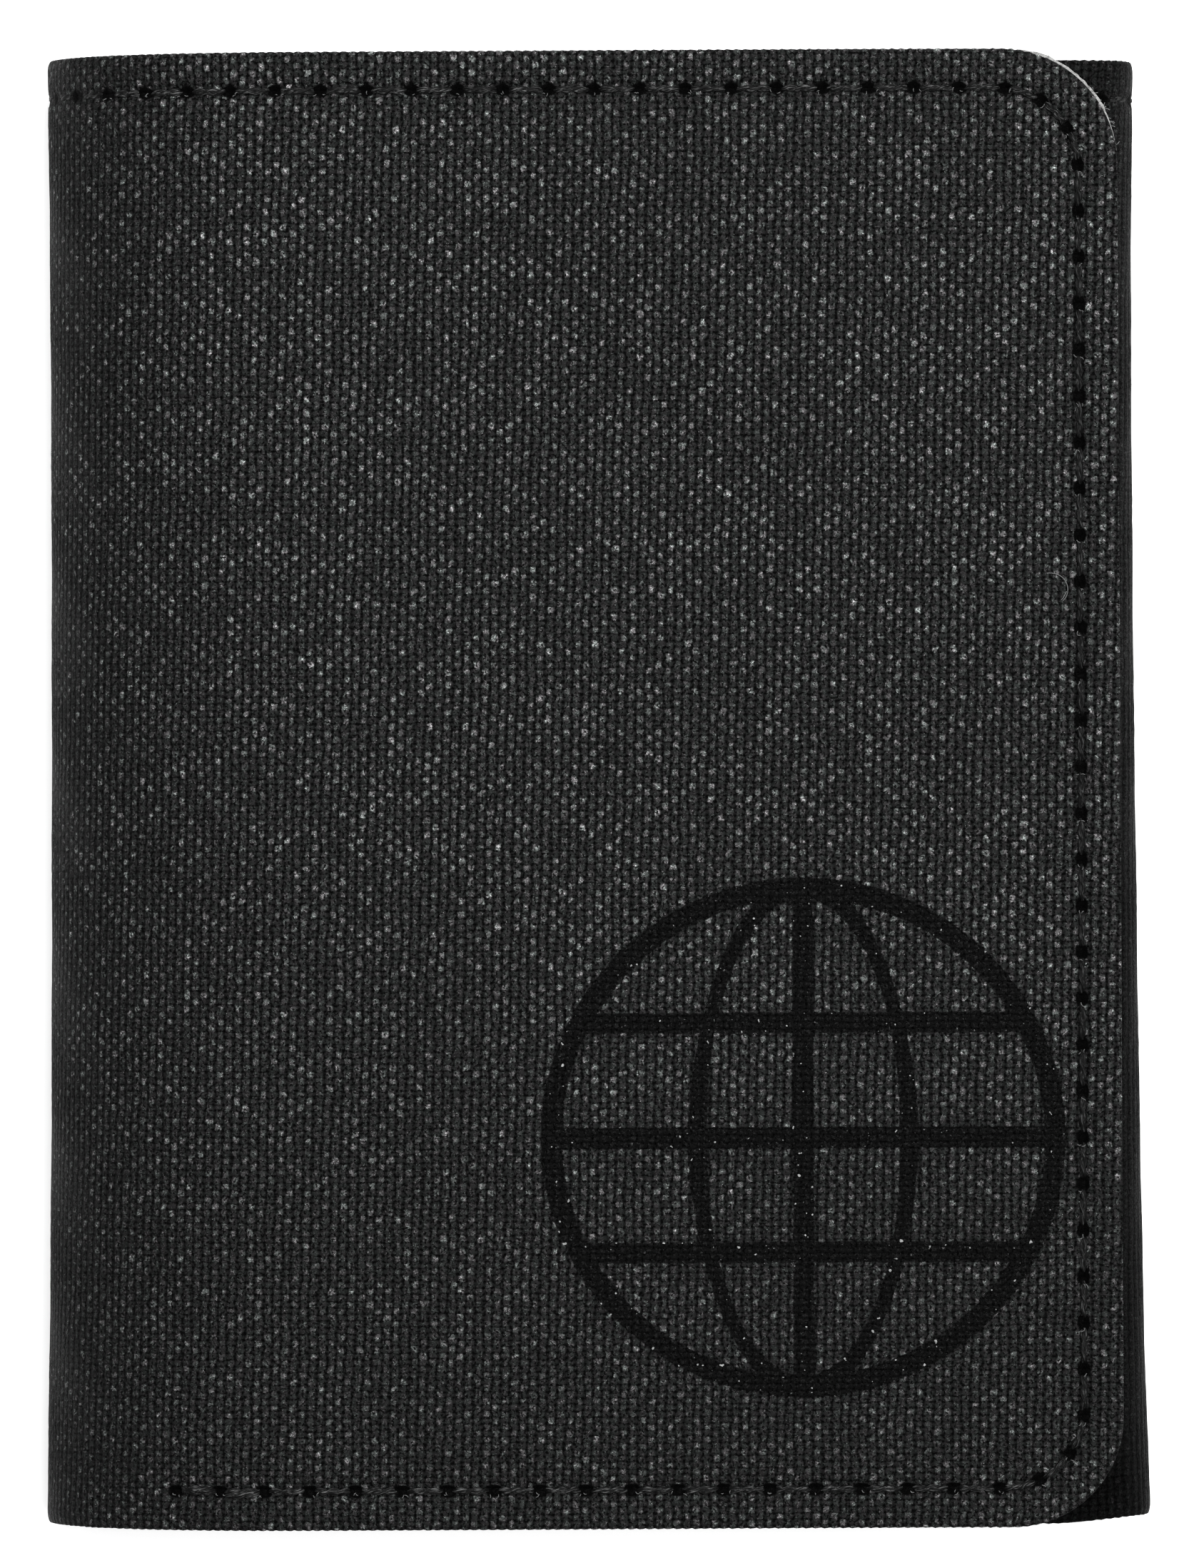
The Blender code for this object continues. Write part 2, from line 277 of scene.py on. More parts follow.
def rows(half, step=1.5 * MM, fine=True):
    """Flat heights of a cloth's rows, closer at its edges and, if fine, along its seams."""
    margin = np.concatenate([EDGE_STEPS, [1.8 * MM], SEAM_STEPS]) if fine else EDGE_STEPS
    inner = half - margin[-1] - step
    middle = np.linspace(-inner, inner, max(2, int(round(2 * inner / step)) + 1))
    return np.concatenate([-half + margin, middle, (half - margin)[::-1]])


def columns(start, end, step=0.55 * MM, free_start=False, free_end=False):
    """Flat places of a cloth's columns, closer at a free edge."""
    low = start + EDGE_STEPS if free_start else np.array([start])
    high = (end - EDGE_STEPS)[::-1] if free_end else np.array([end])
    count = max(2, int(round((high[0] - low[-1]) / step)) + 1)
    return np.concatenate([low, np.linspace(low[-1], high[0], count)[1:-1], high])


# ---------------------------------------------------------------- seams

def rounded_route(points, radius, count=9):
    """A flat route with its corners rounded."""
    route = [np.array(points[0], float)]
    for before, corner, after in zip(points, points[1:], points[2:]):
        before, corner, after = (np.array(p, float) for p in (before, corner, after))
        into = (corner - before) / np.linalg.norm(corner - before)
        out = (after - corner) / np.linalg.norm(after - corner)
        centre = corner - into * radius + out * radius
        for angle in np.linspace(0, math.pi / 2, count):
            route.append(centre - out * radius * math.cos(angle) + into * radius * math.sin(angle))
    route.append(np.array(points[-1], float))
    return np.array(route)


SEAM_T = HALF - SEAM_INSET
BOTTOM_SEAM_START = S_COVER_FLAT + 12.6 * MM
BACK_SEAM_START = S_BACK_LEFT + 12 * MM


def joined_seam():
    """The seam's flat route: round the cover, along the top, round the flap and back."""
    cover = rounded_route([(BOTTOM_SEAM_START, -SEAM_T), (SEAM_INSET, -SEAM_T),
                           (SEAM_INSET, SEAM_T), (S_BACK, SEAM_T)], COVER_SEAM_CORNER)
    flap = rounded_route([(S_BACK, SEAM_T), (S_END - SEAM_INSET, SEAM_T),
                          (S_END - SEAM_INSET, -SEAM_T), (BACK_SEAM_START, -SEAM_T)],
                         FLAP_SEAM_CORNER)
    return np.concatenate([cover, flap[1:]])


SEAM = joined_seam()


def along(route, distances):
    """Points on a flat route at running distances."""
    steps = np.linalg.norm(np.diff(route, axis=0), axis=1)
    length = np.concatenate([[0], np.cumsum(steps)])
    return np.stack([np.interp(distances, length, route[:, k]) for k in (0, 1)], -1)


def route_length(route):
    """The whole length of a flat route."""
    return float(np.linalg.norm(np.diff(route, axis=0), axis=1).sum())


def bare_fold(s, t):
    """The lower end of the right fold, which the seam leaves out."""
    return (s > S_BACK_RIGHT - 1 * MM) & (s < S_FLAP_FLAT - 2.4 * MM) & (t < 0)


def fold_share(s):
    """How far a point is inside either fold, where cloth can't sink under the thread."""
    left = smooth(s, S_COVER_FLAT + 8 * MM, S_SHOULDER + 6 * MM)
    left = left * (1 - smooth(s, S_SPINE, S_BACK_LEFT + 2 * MM))
    right = smooth(s, S_BACK_RIGHT, S_BACK_RIGHT + 3 * MM)
    return np.maximum(left, right * (1 - smooth(s, S_FLAP_FLAT - 3 * MM, S_FLAP_FLAT)))


def stitch_pitch(place):
    """Stitch length at a place on the seam: shorter round the cover's two free corners."""
    s, t = along(SEAM, np.array([place]))[0]
    if s > SEAM_INSET + COVER_SEAM_CORNER or place > route_length(SEAM) / 2:
        return STITCH_PITCH
    if abs(t) > SEAM_T - COVER_SEAM_CORNER:
        return CORNER_PITCHES[1] if t > 0 else CORNER_PITCHES[0]
    return SIDE_PITCH


def hole_places():
    """Running distances of the needle holes, counted both ways from one on the cover's side."""
    bottom_run = BOTTOM_SEAM_START - SEAM_INSET - COVER_SEAM_CORNER
    corner_run = COVER_SEAM_CORNER * math.pi / 2
    first = bottom_run + corner_run + SEAM_T - COVER_SEAM_CORNER + COUNTED_HOLE_T
    places = [first]
    while places[0] > STITCH_PITCH:
        places.insert(0, places[0] - stitch_pitch(places[0] - 1 * MM))
    while places[-1] < route_length(SEAM) - STITCH_PITCH:
        places.append(places[-1] + stitch_pitch(places[-1] + 1 * MM))
    return np.array([place for place in places if not bare_fold(*along(SEAM, place))])


HOLE_PLACES = hole_places()
HOLES = along(SEAM, HOLE_PLACES)
HOLE_WAYS = along(SEAM, HOLE_PLACES + 0.3 * MM) - along(SEAM, HOLE_PLACES - 0.3 * MM)
HOLE_WAYS[0] = HOLE_WAYS[1]
HOLE_WAYS /= np.linalg.norm(HOLE_WAYS, axis=1)[:, None]


def route_distance(s, t, route):
    """Distance of flat points from a flat route, or infinity on the fold that has no seam."""
    points = np.stack([s.ravel(), t.ravel()], -1)
    nearest = np.full(len(points), np.inf)
    low, high = points.min(0) - 4 * MM, points.max(0) + 4 * MM
    for a, b in zip(route, route[1:]):
        if (np.maximum(a, b) < low).any() or (np.minimum(a, b) > high).any():
            continue
        way = b - a
        share = np.clip((points - a) @ way / max(way @ way, 1e-18), 0, 1)
        gap = np.linalg.norm(points - a - share[:, None] * way, axis=1)
        nearest = np.minimum(nearest, gap)
    return np.where(bare_fold(s, t), np.inf, nearest.reshape(s.shape))


def hole_share(s, t):
    """How far a flat point is inside a needle hole, from 0 to 1."""
    share = np.zeros(s.shape)
    for (hole_s, hole_t), way in zip(HOLES, HOLE_WAYS):
        off_s, off_t = s - hole_s, t - hole_t
        near = (np.abs(off_s) < 2 * MM) & (np.abs(off_t) < 2 * MM)
        if not near.any():
            continue
        forward = off_s * way[0] + off_t * way[1]
        sideways = off_s * way[1] - off_t * way[0]
        size = (forward / HOLE_REACH[0]) ** 2 + (sideways / HOLE_REACH[1]) ** 2
        share = np.maximum(share, np.where(near, np.exp(-size ** 2 * 0.8), 0))
    return share


def seam_groove(s, t):
    """How deep the thread pulls the cloth in, narrowly at the stitches and widely round them."""
    distance = route_distance(s, t, SEAM)
    sunk = 1 - 0.7 * fold_share(s)
    return (0.34 * np.exp(-(distance / (0.55 * MM)) ** 4)
            + 0.16 * np.exp(-(distance / (2.2 * MM)) ** 2)) * MM * sunk


def groove_painted_shade(s, t):
    """Painted shade: the cloth darkens a little in the groove where the thread presses it down."""
    return 0.33 * np.exp(-(route_distance(s, t, SEAM) / (0.45 * MM)) ** 4)


# ---------------------------------------------------------------- meshes

def add_mesh(name, vertices, faces, material, sharp=50):
    """A smooth-shaded mesh object with one material."""
    mesh = bpy.data.meshes.new(name)
    mesh.from_pydata(np.asarray(vertices).reshape(-1, 3).tolist(), [], faces)
    mesh.validate()
    mesh.shade_smooth()
    mesh.set_sharp_from_angle(angle=math.radians(sharp))
    piece = bpy.data.objects.new(name, mesh)
    bpy.context.scene.collection.objects.link(piece)
    mesh.materials.append(material)
    return piece


def set_attribute(piece, name, values, kind="FLOAT_VECTOR"):
    """Stores a value at each of a piece's points, for its material."""
    attribute = piece.data.attributes.new(name, kind, "POINT")
    slot_name = "vector" if kind == "FLOAT_VECTOR" else "value"
    attribute.data.foreach_set(slot_name, np.asarray(values, np.float32).ravel())


def grid_faces(across, up, offset=0, flip=False):
    """Four-sided faces over a grid of points."""
    i, j = np.meshgrid(np.arange(across - 1), np.arange(up - 1), indexing="ij")
    a = offset + i * up + j
    quads = np.stack([a, a + 1, a + up + 1, a + up], -1).reshape(-1, 4)
    return quads[:, ::-1] if flip else quads


def rim_faces(across, up, offset):
    """Walls that close two grids of the same size into one body."""
    first = list(range(up))
    right = [i * up + up - 1 for i in range(across)]
    last = [(across - 1) * up + j for j in reversed(range(up))]
    left = [i * up for i in reversed(range(across))]
    loop = first + right[1:] + last[1:] + left[1:-1]
    return [[b, a, a + offset, b + offset] for a, b in zip(loop, loop[1:] + loop[:1])]


def closed_sheet(name, s, t, high, low, material, hole=None):
    """A thin closed body between two depths over a grid of flat points."""
    across, up = s.shape
    top, under = surface(s, t, high), surface(s, t, low)
    count = across * up
    faces = np.concatenate([grid_faces(across, up), grid_faces(across, up, count, True),
                            np.array(rim_faces(across, up, count))]).tolist()
    piece = add_mesh(name, np.concatenate([top.reshape(-1, 3), under.reshape(-1, 3)]),
                     faces, material)
    flat = np.stack([s, t, np.broadcast_to(high, s.shape)], -1).reshape(-1, 3)
    flat_low = np.stack([s, t, np.broadcast_to(low, s.shape)], -1).reshape(-1, 3)
    set_attribute(piece, "cloth", np.concatenate([flat, flat_low]))
    if hole is not None:
        set_attribute(piece, "hole", np.concatenate([hole.ravel(), hole.ravel() * 0]), "FLOAT")
    return piece


class Strip:
    """One stretch of the folded cloth."""

    def __init__(self, name, start, end, bodies, bend_from, bend_to, edge=None, radii=(0, 0),
                 steps=(0.45 * MM, 1.0 * MM)):
        self.name, self.start, self.end, self.steps = name, start, end, steps
        self.bodies, self.bend_from, self.bend_to = bodies, bend_from, bend_to
        self.edge, self.radii = edge, radii

    def grid(self, inset=0.0, step=0.55 * MM, row_step=1.5 * MM, fine=True):
        """Flat points over the strip, with their distance from the cloth's edge."""
        start, end, half = self.start, self.end, HALF - inset
        if self.edge == "start":
            start += inset
        if self.edge == "end":
            end -= inset
        s_line = columns(start, end, step, self.edge == "start", self.edge == "end")
        s, t = np.meshgrid(s_line, rows(half, row_step, fine), indexing="ij")
        radii = [max(radius - inset, 0.5 * MM) for radius in self.radii]
        if self.edge:
            edge_s, inward = (start, 1) if self.edge == "start" else (end, -1)
            s, t = map_corners(s, t, edge_s, inward, half, radii)
            return s, t, edge_distance(s, t, half, edge_s, inward, radii)
        return s, t, edge_distance(s, t, half)

    def attach(self, piece):
        """Bakes a piece's placement into its points."""
        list(self.bodies)
        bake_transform(piece)


STRIPS = (
    Strip("cover", 0.0, S_SHOULDER, ("left_shoulder", "cover"),
          SHOULDER_POINT, (LEFT + SHOULDER_RUN, TOP), "start", COVER_CORNERS,
          (0.288 * MM, 0.50 * MM)),
    Strip("shoulder", S_SHOULDER, S_SPINE, ("left_spine", "left_shoulder"),
          (LEFT, LOW_RISE), SHOULDER_POINT, steps=(0.43 * MM, 0.43 * MM)),
    Strip("back_left", S_SPINE, S_BACK, ("back", "left_spine"),
          (LEFT + LOW_RUN, 0), (LEFT, LOW_RISE)),
    Strip("back_right", S_BACK, S_RIGHT, ("back", "right_spine"),
          (RIGHT - FLAP_RADIUS, 0), (RIGHT, FLAP_RADIUS)),
    Strip("flap", S_RIGHT, S_END, ("right_spine", "flap"),
          (RIGHT, FLAP_RADIUS), (RIGHT - FLAP_RADIUS, FLAP_TOP), "end", FLAP_CORNERS),
)
COVER, _, BACK_LEFT, BACK_RIGHT, FLAP = STRIPS


# ---------------------------------------------------------------- materials

class Value:
    """A number or vector that a material's nodes work out; arithmetic on it adds maths nodes."""

    def __init__(self, shader, socket):
        self.shader, self.socket = shader, socket

    def maths(self, operation, *others, clamp=False):
        return self.shader.maths(operation, self, *others, clamp=clamp)

    def __add__(self, other):
        return self.maths("ADD", other)

    def __sub__(self, other):
        return self.maths("SUBTRACT", other)

    def __rsub__(self, other):
        return self.shader.maths("SUBTRACT", other, self)

    def __mul__(self, other):
        return self.maths("MULTIPLY", other)

    def __abs__(self):
        return self.maths("ABSOLUTE")

    def step(self, low, high, to_low=0.0, to_high=1.0):
        """Goes smoothly from to_low to to_high while this value goes from low to high."""
        node = self.shader.nodes.new("ShaderNodeMapRange")
        node.interpolation_type = "SMOOTHSTEP"
        for socket, item in zip(node.inputs, (self, low, high, to_low, to_high)):
            self.shader.put(socket, item)
        return Value(self.shader, node.outputs[0])


class Shader:
    """One material's node tree."""

    def __init__(self, name, roughness=0.7, **shader_values):
        self.material = bpy.data.materials.new(name)
        self.material.use_nodes = True
        self.nodes = self.material.node_tree.nodes
        self.links = self.material.node_tree.links
        self.base = self.nodes["Principled BSDF"]
        self.base.inputs["Roughness"].default_value = roughness
        for socket, value in shader_values.items():
            self.base.inputs[socket.replace("_", " ")].default_value = value

    def put(self, socket, value):
        if isinstance(value, Value):
            self.links.new(value.socket, socket)
        else:
            socket.default_value = value

    def maths(self, operation, *values, clamp=False):
        node = self.nodes.new("ShaderNodeMath")
        node.operation, node.use_clamp = operation, clamp
        for socket, value in zip(node.inputs, values):
            self.put(socket, value)
        return Value(self, node.outputs[0])

    def attribute(self, name, output):
        node = self.nodes.new("ShaderNodeAttribute")
        node.attribute_name = name
        return Value(self, node.outputs[output])

    def split(self, vector):
        node = self.nodes.new("ShaderNodeSeparateXYZ")
        self.put(node.inputs[0], vector)
        return [Value(self, output) for output in node.outputs]

    def join(self, x, y, z=0.0):
        node = self.nodes.new("ShaderNodeCombineXYZ")
        for socket, value in zip(node.inputs, (x, y, z)):
            self.put(socket, value)
        return Value(self, node.outputs[0])

    def noise(self, vector, scale, detail=2.0, roughness=0.5):
        node = self.nodes.new("ShaderNodeTexNoise")
        self.put(node.inputs["Vector"], vector)
        node.inputs["Scale"].default_value = scale
        node.inputs["Detail"].default_value = detail
        node.inputs["Roughness"].default_value = roughness
        return Value(self, node.outputs[0])

    def chance(self, vector):
        """A value drawn anew for each whole-numbered place."""
        node = self.nodes.new("ShaderNodeTexWhiteNoise")
        node.noise_dimensions = "3D"
        self.put(node.inputs["Vector"], vector)
        return Value(self, node.outputs["Value"])

    def blend(self, share, low, high):
        node = self.nodes.new("ShaderNodeMix")
        node.data_type = "RGBA"
        self.put(node.inputs["Factor"], share)
        colours = [socket for socket in node.inputs if socket.type == "RGBA"]
        for socket, value in zip(colours, (low, high)):
            self.put(socket, value)
        return Value(self, [output for output in node.outputs if output.type == "RGBA"][0])

    def finish(self, colour, roughness, height, distance, strength=1.0):
        """Wires up the surface, with fine relief of a given depth, and returns the material."""
        node = self.nodes.new("ShaderNodeBump")
        node.inputs["Strength"].default_value = strength
        node.inputs["Distance"].default_value = distance
        self.put(node.inputs["Height"], height)
        self.put(self.base.inputs["Normal"], Value(self, node.outputs[0]))
        self.put(self.base.inputs["Base Color"], colour)
        self.put(self.base.inputs["Roughness"], roughness)
        return self.material


def grey(value, tint=(0.985, 1.0, 0.995)):
    return tuple(value * share for share in tint) + (1.0,)


def weave(shader, warp_pitch, weft_pitch, wander=0.30):
    """A plain weave over the flat cloth.

    Gives the flat place, the yarns' height, how far a point is on a warp crown, in a warp
    column and in a weft row, and a chance value for each crossing.
    """
    flat = shader.attribute("cloth", "Vector")
    s, t, _ = shader.split(flat)
    swapped = shader.join(t, s, 0.7)
    drift = shader.noise(flat, 160, 2) - 0.5
    drift_t = shader.noise(swapped, 130, 2) - 0.5
    tremble = shader.noise(flat, 1100, 2) - 0.5
    tremble_t = shader.noise(swapped, 1300, 2) - 0.5
    u = (s + t * WARP_LEAN) * (1 / warp_pitch) + drift * (wander * 2) + tremble * (wander * 2.6)
    v = t * (1.0 - t * WEFT_TIGHTENING) * (1 / weft_pitch)
    v = v + drift_t * (wander * 2) + tremble_t * (wander * 3.2)
    warp_row, weft_row = u.maths("FLOOR"), v.maths("FLOOR")
    over = 1.0 - (warp_row + weft_row).maths("FLOORED_MODULO", 2.0) * 2.0
    round_across = ((u.maths("FRACT") - 0.5) * math.pi).maths("COSINE")
    round_up = ((v.maths("FRACT") - 0.5) * math.pi).maths("COSINE")
    warp_wave = over * round_up
    weft_wave = over * (round_across * -1.0)
    warp = warp_wave * 0.42 + round_across.maths("POWER", 0.6) * 0.50
    weft = weft_wave * 0.38 + round_up.maths("POWER", 0.6) * 0.46
    height = warp.maths("MAXIMUM", weft).maths("MAXIMUM", 0.0)
    crown = warp_wave.step(-0.75, 0.90) * round_across.step(0.30, 1.0)
    bridge = round_up.step(0.30, 0.95) * weft_wave.step(-0.5, 0.3)
    column = round_across.step(0.14, 0.88).maths("MAXIMUM", bridge * 0.45)
    row = round_up.step(0.05, 0.75)
    cell = shader.chance(shader.join(warp_row, weft_row))
    return flat, height, crown, column, row, cell


def canvas_material(name, ink=False, wear=1.0, shaded_foot=1.0):
    """Black coated plain-weave canvas with pale, fuzzy, worn yarn crowns.

    wear is how far its crowns are worn pale, and shaded_foot how much light painted shade leaves
    at its lower end.
    """
    shader = Shader(name, 0.62, Specular_IOR_Level=0.03, Sheen_Weight=0.008, Sheen_Roughness=0.5)
    flat, height, crown, column, row, cell = weave(shader, WARP_PITCH, WEFT_PITCH)
    s, t, _ = shader.split(flat)
    fuzz = shader.noise(flat, 6200, 2, 0.65)
    curl = abs(shader.noise(flat, 2900, 1.5) - 0.5)
    tuft = shader.noise(flat, 3900, 1.5, 0.6).step(0.42, 0.58)
    hair = (fuzz.step(0.46, 0.63) + curl.step(0.008, 0.040, 1.0, 0.0) * 0.7) * tuft
    # How pale the crowns are: scaled by wear, paler towards the top, and uneven in broad patches.
    crown_pallor = t.step(-60 * MM, 15 * MM, 0.60 * wear, 0.94 * wear)
    crown_pallor = crown_pallor * shader.noise(flat, 28, 3).step(0.3, 0.7, 0.85, 1.15)
    slub = shader.noise(flat, 620, 2)
    chosen = cell.step(0.0, 1.0, 0.25, 1.55) * slub.step(0.3, 0.7, 0.25, 1.75)
    bright = (crown * chosen) * ((hair + 0.16) * crown_pallor)
    # Columns lighter than the gaps, and a ground tone that falls to near black in the low places
    # between yarns: partly the black coating, partly painted shade.
    dull = column * (hair * 1.3 + 0.20)
    ground = height.step(0.10, 0.62) * GROUND_LIGHT
    light = bright * CROWN_LIGHT + dull * COLUMN_LIGHT + ground + GAP_LIGHT
    pit = shader.noise(shader.join(t, s, 0.1), 3900, 2).step(0.37, 0.50, 0.05, 1.0)
    # Darker between weft rows, partly painted shade of the hollows, and a little darker towards
    # the bottom.
    pit = pit * (row * 0.42 + 0.58) * t.step(-68 * MM, 25 * MM, 0.88, 1.0)
    # Painted glints: small bright specks on the crowns that stand in for highlights.
    painted_glint = shader.noise(flat, 7500, 1).step(0.70, 0.75) * crown
    light = light * pit + painted_glint * crown_pallor * PAINTED_GLINT_LIGHT
    # Painted shade: the cloth darkens towards its lower end, down to shaded_foot.
    light = light * t.step(-70 * MM, 60 * MM, shaded_foot, 1.0)
    # Painted shade: the cloth darkens round the left fold, which turns away from the light, and
    # stays as dark on the back and flap beyond it.
    light = light * s.step(S_COVER_FLAT + 4 * MM, S_SPINE, 1.0, FOLD_PAINTED_SHADE)
    tint = shader.noise(flat, 1700, 1).step(0.40, 0.60)
    full = shader.blend(tint, grey(1.0, (1.0, 0.965, 0.985)), grey(1.0, (0.915, 1.0, 0.965)))
    colour = shader.blend(light, grey(0.0), full)
    rough = fuzz.step(0.3, 0.8, 0.50, 0.78)
    if ink:
        colour, rough = printed(shader, flat, colour, rough, pit)
    # Painted shade: needle holes, and a little of the seam groove, turn near black in the colour.
    painted_hole_shade = shader.attribute("hole", "Fac").step(0.22, 0.56)
    colour = shader.blend(painted_hole_shade, colour, grey(0.0002))
    return shader.finish(colour, rough, height + hair * 0.30, 0.20 * MM)


def printed(shader, flat, colour, rough, pit):
    """Lays the printed sign over a canvas's colour and roughness."""
    bare = shader.noise(flat, 3000, 2).step(0.66, 0.72)
    cover = ink_mask(shader, flat).maths("MULTIPLY", 1.0 - bare, clamp=True)
    # Painted glints: sparse bright specks in the ink that stand in for its gloss highlights.
    painted_ink_glint = shader.noise(flat, 1900, 1).step(0.730, 0.755)
    ink_tone_and_glint = pit * INK_LIGHT + painted_ink_glint * INK_PAINTED_GLINT
    colour = shader.blend(cover, colour, shader.blend(ink_tone_and_glint, grey(0.0), grey(1.0)))
    return colour, rough * (1.0 - cover) + cover * INK_ROUGHNESS


def ink_mask(shader, flat):
    """A plain globe sign: a ring, three meridians and three parallels, in printed ink."""
    s, t, _ = shader.split(flat)
    x, y = INK_CENTRE[0] - s, t - INK_CENTRE[1]
    ragged = (shader.noise(flat, 1500, 2) - 0.5) * (0.45 * MM)

    def line(distance):
        return (distance + ragged).step(INK_STROKE - 0.08 * MM, INK_STROKE + 0.08 * MM, 1.0, 0.0)

    reach = (x * x + y * y).maths("SQRT")
    inside = reach.step(INK_RADIUS - 0.05 * MM, INK_RADIUS + 0.05 * MM, 1.0, 0.0)
    wide = x * (1 / INK_MERIDIAN)
    off_meridian = abs((wide * wide + y * y).maths("SQRT") - INK_RADIUS)
    slope = abs(y * (1 / INK_RADIUS)) * (1 - INK_MERIDIAN) + INK_MERIDIAN
    distances = [off_meridian * slope, abs(x)]
    distances += [abs(y - place * INK_RADIUS) for place in INK_PARALLELS]
    total = line(abs(reach - INK_RADIUS))
    for distance in distances:
        total = total.maths("MAXIMUM", line(distance) * inside)
    return total


def lining_material(name, tone=0.024, warp=0.42 * MM, weft=0.40 * MM):
    """Fine dark lining cloth with a soft sheen along its yarns, partly painted as lighter crowns.
    """
    shader = Shader(name, 0.55, Specular_IOR_Level=0.06, Sheen_Weight=0.015, Sheen_Roughness=0.45)
    flat, height, crown, _, _, cell = weave(shader, warp, weft, wander=0.12)
    fibre = shader.noise(flat, 6000, 2, 0.6)
    patch = shader.noise(flat, 45, 3).step(0.25, 0.75, 0.7, 1.2)
    # Lighter crowns: partly yarn tone, partly painted sheen; the tone also varies at random for
    # each crossing and in patches.
    light = (crown * 0.6 + cell * 0.3).maths("MULTIPLY", patch, clamp=True)
    cool = (1, 1, 1.04)
    colour = shader.blend(light, grey(tone * 0.35, cool), grey(tone * 1.4, cool))
    rough = fibre.step(0.3, 0.7, 0.48, 0.66)
    return shader.finish(colour, rough, height + fibre * 0.3, 0.06 * MM, 0.9)


def tape_material(name):
    """Ribbed edge tape: ribs across its width, over a twisted ground."""
    shader = Shader(name, 0.6, Specular_IOR_Level=0.15, Sheen_Weight=0.03, Sheen_Roughness=0.4)
    flat = shader.attribute("cloth", "Vector")
    s, t, _ = shader.split(flat)
    rib = (t * (2 * math.pi / (0.55 * MM))).maths("SINE")
    yarn = (s * (2 * math.pi / (0.42 * MM))).maths("SINE")
    fuzz = shader.noise(flat, 3500, 3, 0.6)
    # Rib crests lighter than the troughs: painted shade of the ribs, over a random fibre tone.
    light = (rib * 0.25 + fuzz).maths("MULTIPLY", 0.8, clamp=True)
    colour = shader.blend(light, grey(0.002), grey(0.016))
    rough = fuzz.step(0.3, 0.7, 0.5, 0.75)
    return shader.finish(colour, rough, rib * 0.5 + (yarn * 0.2 + fuzz), 0.09 * MM, 0.9)


def board_material(name):
    """Pale pressed backing: short fibres and a slightly soiled cut edge."""
    shader = Shader(name, 0.85, Specular_IOR_Level=0.25)
    flat = shader.attribute("cloth", "Vector")
    fibre = shader.noise(flat, 2600, 4, 0.7)
    stain = shader.noise(flat, 190, 3)
    light = fibre.step(0.30, 0.62) * stain.step(0.2, 0.6, 0.55, 1.0)
    colour = shader.blend(light, grey(0.16, (1, 1, 0.98)), grey(0.50, (1, 1, 0.985)))
    return shader.finish(colour, fibre.step(0.3, 0.7, 0.78, 0.95), fibre, 0.12 * MM, 0.8)


def thread_material(name, tone=0.014):
    """Bonded twisted thread: pale streaks run with each ply, partly lighter fibres and partly
    painted sheen, under a dull gloss.

    The third share of its flat place says how far a stitch runs across the wallet; stitches that
    run across are painted lighter, as they catch the light from above the top edge.
    """
    shader = Shader(name, 0.45, Specular_IOR_Level=0.05, Sheen_Weight=0.01, Sheen_Roughness=0.4)
    along_ply, round_ply, crosswise = shader.split(shader.attribute("cloth", "Vector"))
    streak = shader.noise(shader.join(along_ply * 0.12, round_ply), 9000, 3, 0.6)
    dust_and_painted_light = shader.noise(shader.join(along_ply, round_ply), 900, 2)
    # Painted light: stitches that run across the wallet are lighter, and those that run up it
    # darker.
    dust_and_painted_light = dust_and_painted_light * crosswise.step(0.3, 0.98, 0.62, 1.0)
    # Pale streaks along the plies: partly lighter fibres, partly painted sheen.
    light = streak.step(0.50, 0.66) * dust_and_painted_light.step(0.3, 0.6, 0.35, 1.0)
    colour = shader.blend(light, grey(tone * 0.35), grey(tone * 8.5))
    return shader.finish(colour, streak.step(0.3, 0.7, 0.38, 0.62), streak, 0.05 * MM, 0.8)


def fibre_material(name):
    """Single pale fibres with a soft gloss along them."""
    shader = Shader(name, 0.5, Specular_IOR_Level=0.3)
    uneven = shader.noise(shader.attribute("cloth", "Vector"), 2200, 2)
    colour = shader.blend(uneven.step(0.35, 0.65), grey(0.05), grey(0.22))
    return shader.finish(colour, uneven.step(0.3, 0.7, 0.4, 0.6), uneven, 0.01 * MM, 0.5)


def floor_material():
    """A pale studio floor that photographs as plain white."""
    shader = Shader("studio_floor", 0.9, Specular_IOR_Level=0.0)
    shader.base.inputs["Base Color"].default_value = (0.92, 0.92, 0.92, 1)
    shader.base.inputs["Emission Color"].default_value = (1, 1, 1, 1)
    shader.base.inputs["Emission Strength"].default_value = 0.40
    return shader.material


COVER_CANVAS = canvas_material("cover_canvas", ink=True)
CANVAS = canvas_material("canvas")
# A darker copy of the canvas for the back and flap: crowns less pale, and painted shade towards
# the lower end.
SHADED_DARKER_CANVAS = canvas_material("dull_canvas", wear=0.22, shaded_foot=0.42)
LINING = lining_material("lining")
POCKET = lining_material("pocket_cloth", tone=0.014, warp=0.55 * MM, weft=0.50 * MM)
TAPE = tape_material("edge_tape")
BOARD = board_material("pale_backing")
THREAD = thread_material("seam_thread")
FIBRE = fibre_material("pale_fibre")


# ---------------------------------------------------------------- outer canvas

NODES = {
    "cover": ("cover_shell",),
    "shoulder": ("left_shoulder_shell",),
    "back_left": ("left_spine_shell",),
    "back_right": ("back_shell",),
    "flap": ("flap_shell", "right_spine_shell"),
}
CANVASES = {"cover": COVER_CANVAS, "flap": SHADED_DARKER_CANVAS, "back_right": SHADED_DARKER_CANVAS}
LINING_NODES = {
    "cover": ("cover_lining",),
    "shoulder": ("left_shoulder_lining",),
    "back_left": ("left_spine_lining",),
    "back_right": ("back_lining",),
    "flap": ("flap_lining", "right_spine_lining"),
}


